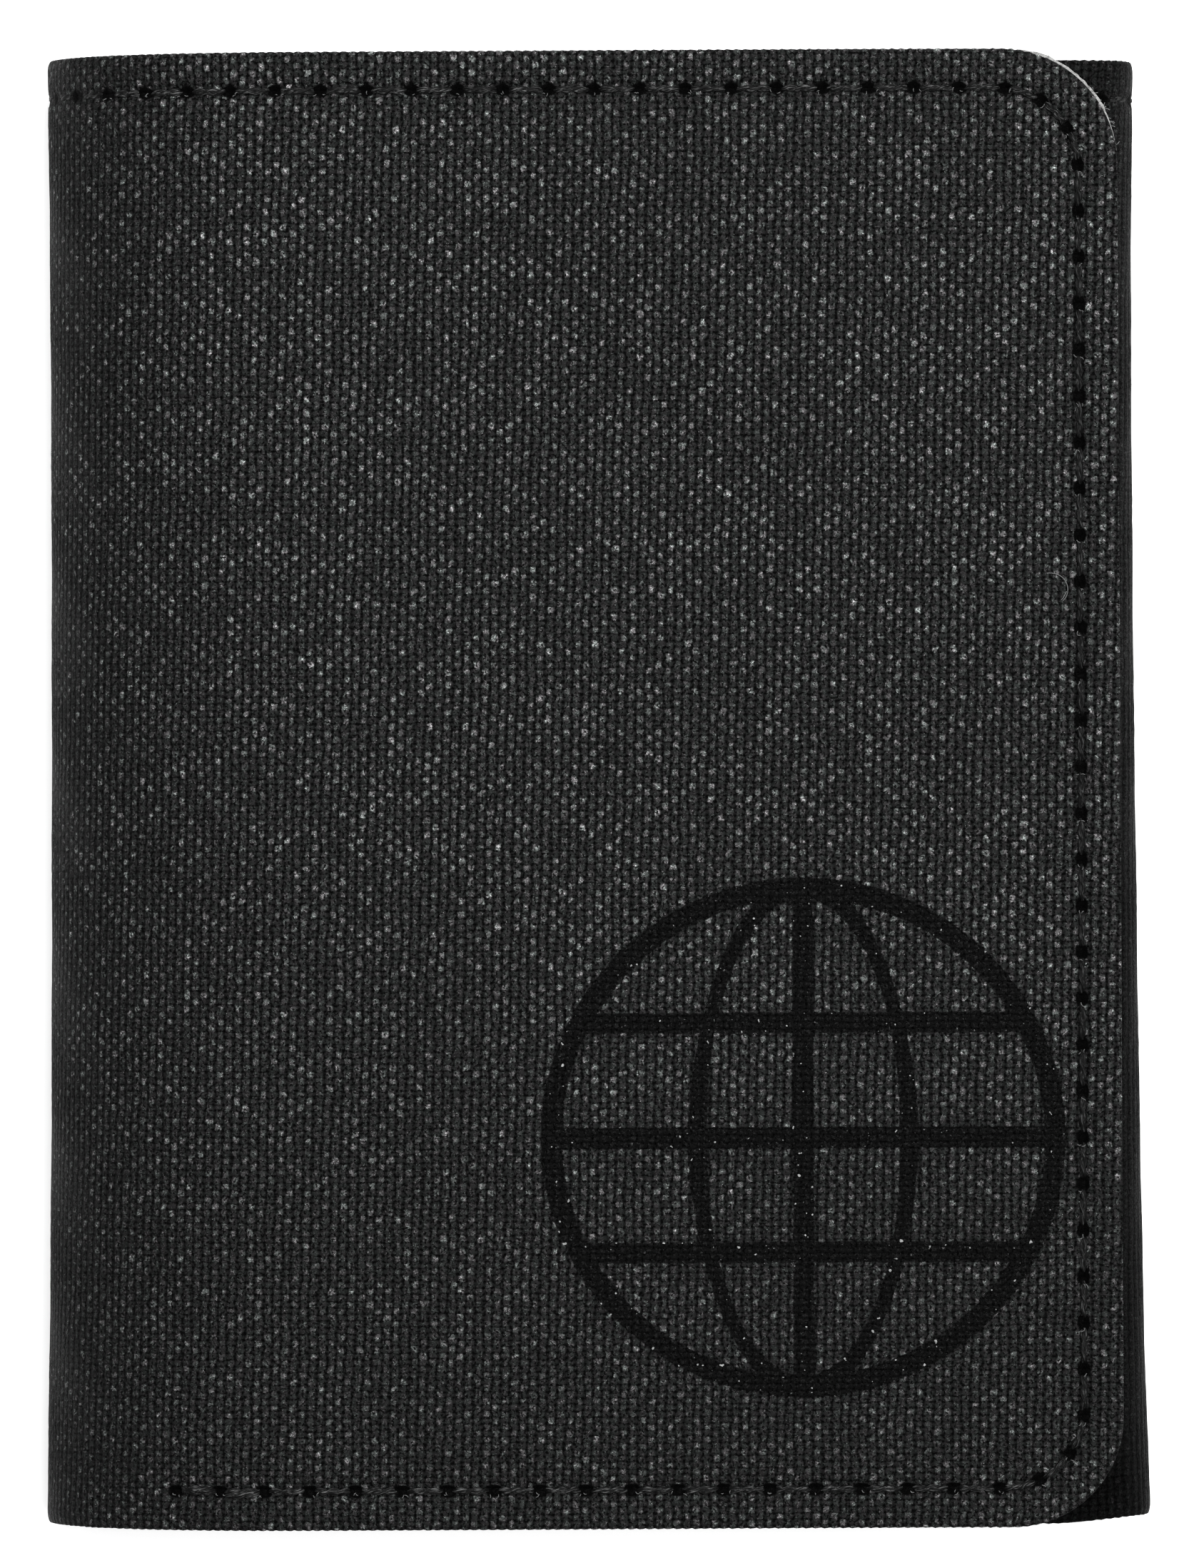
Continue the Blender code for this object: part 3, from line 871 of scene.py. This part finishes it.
def edge_roll(distance, width=1.25 * MM, fall=0.34 * MM):
    """How far a cut edge is pressed down by its seam."""
    near = np.clip(1 - distance / width, 0, 1)
    return fall * (1 - np.sqrt(1 - near ** 2 * 0.98))


def yarn_lumps(s, t):
    """Rise and fall of single yarns, different for each one, from -1 to 1."""
    warp = (s + WARP_LEAN * t) / WARP_PITCH
    weft = t * (1 - WEFT_TIGHTENING * t) / WEFT_PITCH
    sizes = noise_source.uniform(0.4, 1.2, YARN_SIZES)
    size = sizes[(np.floor(warp).astype(int) + 3 * np.floor(weft).astype(int)) % YARN_SIZES]
    return size * np.cos(2 * np.pi * (warp - 0.5))


def make_canvas(strip):
    """The outer canvas of one strip, with its seam groove, needle holes and single yarns."""
    s, t, edge = strip.grid(0, *strip.steps)
    # The hole attribute carries the needle holes and the painted shade of the seam groove.
    hole = np.maximum(hole_share(s, t), groove_painted_shade(s, t))
    lumps = yarn_lumps(s, t)
    t = t + np.sign(t) * lumps * 0.05 * MM * (edge < 0.6 * MM) * (np.abs(t) > HALF - 1 * MM)
    uneven = 0.035 * MM * np.sin(s * 95) * np.sin(t * 71 + 1.3)
    dent = np.maximum(hole - 0.4, 0) * 0.33 * MM
    high = edge_roll(edge) + seam_groove(s, t) + dent + 0.06 * MM + uneven
    high = high - lumps * 0.06 * MM
    piece = closed_sheet("canvas_" + strip.name, s, t, high, CANVAS_LOW,
                         CANVASES.get(strip.name, CANVAS), hole)
    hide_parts(*NODES[strip.name])
    strip.attach(piece)


def make_lining(strip):
    """The lining of one strip, cut a little inside the canvas."""
    s, t, edge = strip.grid(inset=0.7 * MM, step=1.0 * MM, row_step=2.5 * MM, fine=False)
    low = LINING_LOW - edge_roll(edge, 1.0 * MM, 0.2 * MM)
    piece = closed_sheet("lining_" + strip.name, s, t, LINING_HIGH, low, LINING)
    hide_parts(*LINING_NODES[strip.name])
    strip.attach(piece)


for strip in STRIPS:
    make_canvas(strip)
    make_lining(strip)


# ---------------------------------------------------------------- backing boards

def pale_reveal(away, below, radius):
    """How far the cover's backing stands past the canvas, round the top free corner."""
    turn = np.degrees(np.arctan2(radius - away, np.maximum(radius - below, 0)))
    turn = np.where(away >= radius, 0, np.where(below >= radius, 90, turn))
    band = smooth(turn, 2, 24) * (1 - 0.93 * smooth(turn, 46, 88))
    return PALE_BAND * band * (below < HALF)


def make_cover_board(strip):
    """The cover's pale backing, whose cut edge shows round the top free corner."""
    inset, radii = BOARD_HIDE, [radius - BOARD_HIDE for radius in COVER_CORNERS]
    half = HALF - inset
    s_line = columns(inset, S_COVER_FLAT + 4 * MM, 0.8 * MM, free_start=True)
    s, t = np.meshgrid(s_line, rows(half, 2 * MM), indexing="ij")
    s, t = map_corners(s, t, inset, 1, half, radii)
    border = np.zeros(s.shape, bool)
    border[0, :] = border[:, 0] = border[:, -1] = True
    away, below, radius = s - inset, half - t, radii[1]
    reach = pale_reveal(away, below, radius)
    reach = reach + np.where(reach > 0.02 * MM, inset, 0)
    out_s, out_t = np.maximum(radius - away, 0), np.maximum(radius - below, 0)
    size = np.maximum(np.hypot(out_s, out_t), 1e-9)
    ragged = 1 + 0.15 * np.sin(t * 5100) * np.sin(s * 4300 + 1)
    move = np.where(border, reach * ragged, 0)
    s, t = s - move * out_s / size, t + move * out_t / size
    lift = 0.45 * MM * (reach > 0) * border
    piece = closed_sheet("pale_backing_cover", s, t, BOARD_HIGH - lift * 0.4, BOARD_LOW, BOARD)
    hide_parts("cover_board")
    strip.attach(piece)


def make_flat_board(name, node, body, start, end, edge=None, radii=(0, 0)):
    """The backing of a flat panel, hidden between its canvas and its lining."""
    half = HALF - BOARD_INSET
    s_line = columns(start, end, 3 * MM)
    s, t = np.meshgrid(s_line, rows(half, 3 * MM, fine=False), indexing="ij")
    if edge is not None:
        s, t = map_corners(s, t, edge, -1, half, [radius - BOARD_INSET for radius in radii])
    piece = closed_sheet(name, s, t, BOARD_HIGH, BOARD_LOW, BOARD)
    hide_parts(node)
    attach(piece, body)


make_cover_board(COVER)
make_flat_board("pale_backing_back", "back_board", "back", S_BACK_LEFT + 1 * MM,
                S_BACK_RIGHT - 1 * MM)
make_flat_board("pale_backing_flap", "flap_board", "flap", S_FLAP_FLAT + 1 * MM,
                S_END - BOARD_INSET, S_END - BOARD_INSET, FLAP_CORNERS)


# ---------------------------------------------------------------- thread

def outward(s, t, depth):
    """Directions that point out of the cloth at flat points."""
    here, above = surface(s, t, depth), surface(s, t, depth - 0.1 * MM)
    return (above - here) / np.linalg.norm(above - here, axis=-1, keepdims=True)


def stitch_path(flat_points, depth, side=1, dive=0.8 * MM):
    """A stitch from hole to hole: it lies in the seam and dives into the cloth at both ends."""
    share = np.linspace(-1, 1, len(flat_points))
    sunk = depth + side * dive * np.abs(share) ** 5
    path = surface(flat_points[:, 0], flat_points[:, 1], sunk)
    return path, outward(flat_points[:, 0], flat_points[:, 1], sunk) * side


def ply_rings(path, normal, ply, offset, phase):
    """Rings of points round one ply, as it winds round a stitch's path."""
    tangent = np.gradient(path, axis=0)
    tangent /= np.linalg.norm(tangent, axis=1, keepdims=True)
    side = np.cross(tangent, normal)
    side /= np.linalg.norm(side, axis=1, keepdims=True)
    normal = np.cross(side, tangent)
    turn = (2 * math.pi * PLY_TURNS * np.linspace(0, 1, len(path)) + phase)[:, None]
    middle = path + offset * (np.cos(turn) * side + 0.6 * np.sin(turn) * normal)
    ring = np.linspace(0, 2 * math.pi, PLY_SIDES, endpoint=False)[None, :, None]
    return middle[:, None] + ply * (np.cos(ring) * side[:, None] + np.sin(ring) * normal[:, None])


def make_thread(name, paths, material, size=SEAM_THREAD, plies=2):
    """Many stitches or fibres as one piece; size is a ply's radius and its offset from the path.

    Each ply's points hold a place of its own in a flat stretch, and how far it runs across.
    """
    ply, offset = size
    vertices, faces, flat = [], [], []
    count = 0
    for number, (path, normal) in enumerate(paths):
        for k in range(plies):
            phase = 2 * math.pi * k / plies + number * 0.7
            rings = ply_rings(path, normal, ply, offset, phase)
            steps = len(rings)
            vertices.append(rings.reshape(-1, 3))
            lengths = np.repeat(np.linspace(0, 4 * MM, steps), PLY_SIDES) + number * 5 * MM
            turns = np.tile(np.arange(PLY_SIDES) * 0.2 * MM, steps) + k * 1.7 * MM
            tangent = np.gradient(path, axis=0)
            crosswise = np.abs(tangent[:, 0]) / np.linalg.norm(tangent, axis=1)
            flat.append(np.stack([lengths, turns, np.repeat(crosswise, PLY_SIDES)], -1))
            for i in range(steps - 1):
                for j in range(PLY_SIDES):
                    a, b = count + i * PLY_SIDES + j, count + i * PLY_SIDES + (j + 1) % PLY_SIDES
                    faces.append([a, a + PLY_SIDES, b + PLY_SIDES, b])
            faces.append([count + j for j in range(PLY_SIDES)])
            faces.append([count + (steps - 1) * PLY_SIDES + j for j in reversed(range(PLY_SIDES))])
            count += steps * PLY_SIDES
    piece = add_mesh(name, np.concatenate(vertices), faces, material, sharp=80)
    set_attribute(piece, "cloth", np.concatenate(flat))
    return piece


def seam_stitches(strip):
    """Paths of the long seam's stitches whose middles lie on one strip."""
    paths = []
    for start, end in zip(HOLE_PLACES, HOLE_PLACES[1:]):
        flat = along(SEAM, np.linspace(start + HOLE_CLEAR, end - HOLE_CLEAR, STITCH_STEPS))
        if not strip.start <= flat[STITCH_STEPS // 2, 0] < strip.end:
            continue
        if not bare_fold(flat[:, 0], flat[:, 1]).any():
            paths.append(stitch_path(flat, SEAM_THREAD_DEPTH))
    return paths


def back_tack():
    """The two doubled stitches that lock the start of the seam on the cover."""
    paths = []
    for number in range(2):
        start = HOLE_PLACES[number] + HOLE_CLEAR
        flat = along(SEAM, np.linspace(start, start + STITCH_PITCH - HOLE_LENGTH, STITCH_STEPS))
        flat[:, 1] += (0.22 - 0.5 * number) * MM
        paths.append(stitch_path(flat, 0.14 * MM))
    return paths


for strip in STRIPS:
    stitches = seam_stitches(strip)
    if strip is COVER:
        stitches += back_tack()
    seam_piece = make_thread("seam_" + strip.name, stitches, THREAD)
    if strip is COVER:
        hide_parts("cover_seam_thread")
    strip.attach(seam_piece)


# ---------------------------------------------------------------- loose fibres

LOOSE_HAIR = [(6.8, 20.3), (6.0, 20.2), (5.1, 19.7), (4.8, 19.0), (5.1, 18.3), (5.3, 17.7)]


def fibre_path(points, depths, count=12):
    """A curved fibre through a few flat points, lying at the given depths."""
    points = np.array(points, float)
    knots = np.linspace(0, 1, len(points))
    fine = np.linspace(0, 1, count)
    power = np.polyfit(knots, points, min(3, len(points) - 1))
    flat = np.stack([np.polyval(power[:, k], fine) for k in (0, 1)], -1)
    depth = np.interp(fine, np.linspace(0, 1, len(depths)), depths)
    return surface(flat[:, 0], flat[:, 1], depth), outward(flat[:, 0], flat[:, 1], depth)


def hole_fuzz():
    """Short pale fibres that the needle pulled up on the lower side of each hole."""
    paths = []
    for (s, t), way in zip(HOLES, HOLE_WAYS):
        if s > S_SHOULDER:
            break
        for _ in range(2):
            off = random.uniform(-0.6, 0.6) * MM
            start = np.array([s + off * abs(way[0]) + random.uniform(-0.3, 0.3) * MM,
                              t - 0.36 * MM - 0.35 * MM * abs(way[1])])
            swing = random.uniform(0, 2 * math.pi)
            size = random.uniform(0.08, 0.20) * MM
            middle = start + size * np.array([math.cos(swing), math.sin(swing)])
            end = middle + size * np.array([math.cos(swing + 0.5), math.sin(swing + 0.5)])
            paths.append(fibre_path([start, middle, end], (0.20 * MM, -0.03 * MM, 0.12 * MM), 7))
    return paths


def edge_frays():
    """Fibres that stand out from the cut backing on the cover's top free corner."""
    paths = []
    radius = COVER_CORNERS[1]
    for _ in range(12):
        turn = math.radians(random.gauss(66, 9))
        out = np.array([-math.sin(turn), math.cos(turn)])
        side = np.array([out[1], -out[0]]) * random.choice((-1, 1))
        start = np.array([radius, HALF - radius]) + out * (radius + 0.1 * MM)
        size = random.uniform(0.12, 0.48) * MM
        points = [start, start + out * size * 0.6 + side * size * 0.3,
                  start + out * size * 1.0 + side * size * random.uniform(0.5, 1.2)]
        paths.append(fibre_path(points, (0.8 * MM, 0.7 * MM, 0.75 * MM), 8))
    return paths


def make_fibres():
    """Loose fibres on the cover, and the one hair that lies beside its right seam."""
    loose = [(s * MM, t * MM) for s, t in LOOSE_HAIR]
    hair = [fibre_path(loose, (0.0, -0.12 * MM, 0.0), 24),
            fibre_path([(5.5 * MM, 17.8 * MM), (5.3 * MM, 18.0 * MM), (5.0 * MM, 18.6 * MM)],
                       (0.0, -0.05 * MM), 9)]
    for name, paths, thick in (("needle_fuzz", hole_fuzz(), 0.034 * MM),
                               ("edge_frays", edge_frays(), 0.028 * MM),
                               ("loose_hair", hair, 0.034 * MM)):
        COVER.attach(make_thread(name, paths, FIBRE, (thick, 0.0), plies=1))


make_fibres()


# ---------------------------------------------------------------- pockets

def pocket_sheet(name, strip, s, t, high, nodes, hem=0.0):
    """A pocket's cloth over flat points, thicker where it is hemmed."""
    piece = closed_sheet(name, s, t, high, high + POCKET_CLOTH + hem, POCKET)
    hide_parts(*nodes)
    strip.attach(piece)
    float(np.ptp(s))
    float(np.ptp(t))


def mouth_tape(name, strip, s_mouth, toward, t_line, high_at, node, width=4.2 * MM):
    """Edge tape folded over a pocket's mouth, as one rounded band along t."""
    thick = POCKET_CLOTH + 0.50 * MM
    corner = thick / 2
    profile = [(width, -corner)]
    for angle in np.radians(np.linspace(90, 270, 9)):
        profile.append((corner * 0.6 + corner * math.cos(angle), -corner * math.sin(angle)))
    profile.append((width, corner))
    ring = np.array(profile)
    t_grid, along_ring = np.meshgrid(t_line, np.arange(len(ring)), indexing="ij")
    s = s_mouth + toward * ring[along_ring, 0]
    middle = high_at(s, t_grid) + POCKET_CLOTH / 2
    wave = 0.04 * MM * np.sin(t_grid * 1450)
    vertices = surface(s, t_grid, middle + ring[along_ring, 1] + wave)
    rings, sides = t_grid.shape
    faces = []
    for i in range(rings - 1):
        for j in range(sides):
            a, b = i * sides + j, i * sides + (j + 1) % sides
            faces.append([a, b, b + sides, a + sides])
    faces.append(list(reversed(range(sides))))
    faces.append([(rings - 1) * sides + j for j in range(sides)])
    if toward < 0:
        faces = [face[::-1] for face in faces]
    piece = add_mesh(name, vertices, faces, TAPE)
    set_attribute(piece, "cloth", np.stack([s, t_grid, middle], -1))
    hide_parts(node)
    strip.attach(piece)


def line_stitches(flat_from, flat_to, high_at, sink, pitch=2.8 * MM):
    """Small stitches on a straight flat line, on the inside of a pocket's cloth."""
    flat_from, flat_to = np.array(flat_from, float), np.array(flat_to, float)
    count = int(np.linalg.norm(flat_to - flat_from) / pitch)
    paths = []
    for k in range(count):
        shares = np.linspace(k + 0.10, k + 0.90, STITCH_STEPS) / count
        flat = flat_from + shares[:, None] * (flat_to - flat_from)
        depth = high_at(flat[:, 0], flat[:, 1]) + POCKET_CLOTH + sink
        paths.append(stitch_path(flat, depth, -1, dive=0.4 * MM))
    return paths


SEWN = LINING_LOW + 0.03 * MM
ON_TAPE = 0.32 * MM
TAPE_STITCHES = 2.9 * MM
ON_HEM = 0.20 * MM
CARD_SLOTS = 3
SLEEVE_RISE = TOP - SLEEVE_TOP - SEWN
SLEEVE_S = S_COVER_FLAT + (LEFT + SHOULDER_RUN - SLEEVE_MOUTH) * 1.02
TICKET_RISE = TICKET_TOP - POCKET_CLOTH - SEWN
TICKET_S = S_BACK_LEFT + (TICKET_MOUTH - LEFT - LOW_RUN)


def sleeve_high(s, t):
    """The passport sleeve stands off its sewn edges as if a passport had just left it."""
    distance = edge_distance(s, t, HALF, 0.0, 1, COVER_CORNERS)
    crease = 0.18 * MM * np.sin(t * 55 + s * 20) * smooth(distance, 6 * MM, 20 * MM)
    return SEWN + (SLEEVE_RISE + crease) * smooth(distance, 4.2 * MM, 13 * MM)


def ticket_high(s, t):
    """The ticket pocket's outer depth."""
    distance = np.minimum(HALF - np.abs(t), np.maximum(S_BACK_RIGHT + 1 * MM - s, 0) + 3.6 * MM)
    return SEWN + TICKET_RISE * smooth(distance, 4.2 * MM, 12 * MM)


def slot_high(number):
    """The outer depth of a card slot, which lies on the slots before it."""
    def high(s, t):
        distance = np.minimum(HALF - np.abs(t) + 0 * s, S_END - s)
        distance = np.minimum(distance, s - S_FLAP_FLAT + 3.9 * MM)
        stack = SEWN + number * (POCKET_CLOTH + 0.02 * MM)
        return stack + (0.30 + 0.22 * number) * MM * smooth(distance, 4.2 * MM, 10 * MM)
    return high


def make_sleeve(strip):
    """The passport sleeve, with its taped mouth."""
    inset = 0.9 * MM
    half = HALF - inset
    s_line = columns(inset, SLEEVE_S, 0.9 * MM, free_start=True)
    s, t = np.meshgrid(s_line, rows(half, 1.6 * MM), indexing="ij")
    s, t = map_corners(s, t, inset, 1, half, [radius - inset for radius in COVER_CORNERS])
    hems = ("passport_sleeve", "sleeve_hem_top", "sleeve_hem_bottom", "sleeve_hem_edge")
    pocket_sheet("sleeve_cloth", strip, s, t, sleeve_high(s, t), hems)
    t_line = np.linspace(-half, half, 150)
    mouth_tape("sleeve_tape", strip, SLEEVE_S, -1, t_line, sleeve_high, "passport_sleeve_binding")
    line_s, end_t = SLEEVE_S - TAPE_STITCHES, half - 1 * MM
    stitches = line_stitches((line_s, -end_t), (line_s, end_t), sleeve_high, ON_TAPE)
    strip.attach(make_thread("sleeve_tape_stitches", stitches, THREAD, FINE_THREAD))


def make_ticket_pocket(strip_left, strip_right):
    """The ticket pocket on the back panel, in two strips, with its taped mouth."""
    inset = 1.6 * MM
    half = HALF - inset
    for strip, start, end, nodes in (
            (strip_left, TICKET_S, S_BACK, ()),
            (strip_right, S_BACK, S_BACK_RIGHT, ("ticket_pocket",))):
        s, t = np.meshgrid(columns(start, end, 1.0 * MM), rows(half, 1.8 * MM), indexing="ij")
        pocket_sheet("ticket_cloth_" + strip.name, strip, s, t, ticket_high(s, t), nodes)
    t_line = np.linspace(-half, half, 150)
    mouth_tape("ticket_tape", strip_left, TICKET_S, 1, t_line, ticket_high,
               "ticket_pocket_binding")
    line_s, end_t = TICKET_S + TAPE_STITCHES, half - 1 * MM
    stitches = line_stitches((line_s, -end_t), (line_s, end_t), ticket_high, ON_TAPE)
    strip_left.attach(make_thread("ticket_tape_stitches", stitches, THREAD, FINE_THREAD))


def make_card_slots(strip):
    """The flap's card slots, stacked, each with a hem at its mouth."""
    inset = 1.6 * MM
    edge = S_END - inset
    for number in range(CARD_SLOTS):
        node = "card_slot_" + str(number + 1)
        mouth_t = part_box(node)[1][1]
        high_at = slot_high(number)
        low_t = -HALF + inset
        margin = np.concatenate([EDGE_STEPS, [1.8 * MM], SEAM_STEPS])
        upper = mouth_t - np.array([1.6, 1.2, 0.8, 0.4, 0.15, 0.0]) * MM
        start_t = low_t + margin[-1] + 1.5 * MM
        middle = np.arange(start_t, upper[0] - 0.5 * MM, 1.6 * MM)
        t_line = np.concatenate([low_t + margin, middle, upper])
        s_line = columns(S_FLAP_FLAT + 0.3 * MM, edge, 0.9 * MM, free_end=True)
        s, t = np.meshgrid(s_line, t_line, indexing="ij")
        s, t = map_corners(s, t, edge, -1, HALF - inset, (FLAP_CORNERS[0] - inset, 0))
        high = high_at(s, t)
        hem = 0.24 * MM * smooth(t, mouth_t - 3.6 * MM, mouth_t - 3.2 * MM)
        label = str(number + 1)
        pocket_sheet("slot_cloth_" + label, strip, s, t, high, (node,), hem)
        line_t = mouth_t - 2.7 * MM
        stitches = line_stitches((S_FLAP_FLAT + 2 * MM, line_t), (edge - 1.5 * MM, line_t),
                                 high_at, ON_HEM)
        strip.attach(make_thread("slot_stitches_" + label, stitches, THREAD, FINE_THREAD))


make_sleeve(COVER)
make_ticket_pocket(BACK_LEFT, BACK_RIGHT)
make_card_slots(FLAP)


# ---------------------------------------------------------------- studio

CAMERA_DISTANCE = 1.2
CAMERA_AIM = (0.3 * MM, 0.75 * MM)
VIEW_HEIGHT = 0.1471
SENSOR = 36.0
FLOOR_HALF = 6.0
FLOOR_STEPS = 40
FLOOR_Z = -0.2 * MM
WORLD_LIGHT = 0.375


def make_floor():
    line = np.linspace(-FLOOR_HALF, FLOOR_HALF, FLOOR_STEPS)
    x, y = np.meshgrid(line, line, indexing="ij")
    vertices = np.stack([x, y, np.full_like(x, FLOOR_Z)], -1)
    faces = grid_faces(FLOOR_STEPS, FLOOR_STEPS, flip=True).tolist()
    add_mesh("studio_floor", vertices, faces, floor_material())


def make_light(name, place, size, power):
    """A round soft light aimed at the origin; size in metres and power in watts."""
    lamp = bpy.data.lights.new(name, "AREA")
    lamp.shape, lamp.size, lamp.energy = "DISK", size, power
    light = bpy.data.objects.new(name, lamp)
    light.location = place
    light.rotation_mode = "QUATERNION"
    light.rotation_quaternion = (-Vector(place)).to_track_quat("-Z", "Y")
    bpy.context.scene.collection.objects.link(light)


def make_studio():
    """A pale floor, a key light from above the wallet's top edge, and a broad fill light."""
    make_floor()
    make_light("key_light", (-0.05, 0.80, 0.95), size=0.60, power=10.7)
    make_light("fill_light", (0.50, -0.05, 1.25), size=1.0, power=15.2)
    world = bpy.data.worlds.new("studio_world")
    world.use_nodes = True
    background = world.node_tree.nodes["Background"]
    background.inputs["Color"].default_value = (1, 1, 1, 1)
    background.inputs["Strength"].default_value = WORLD_LIGHT
    bpy.context.scene.world = world
    bpy.context.scene.view_settings.view_transform = "Standard"


def make_camera():
    """Looks straight down, with VIEW_HEIGHT metres of the cover's plane in the picture."""
    lens = bpy.data.cameras.new("camera")
    lens.sensor_width = SENSOR
    lens.lens = SENSOR * CAMERA_DISTANCE / VIEW_HEIGHT
    lens.clip_start, lens.clip_end = 0.05, 20
    camera = bpy.data.objects.new("camera", lens)
    camera.location = (*CAMERA_AIM, TOP + CAMERA_DISTANCE)
    bpy.context.scene.collection.objects.link(camera)
    bpy.context.scene.camera = camera


make_studio()
make_camera()
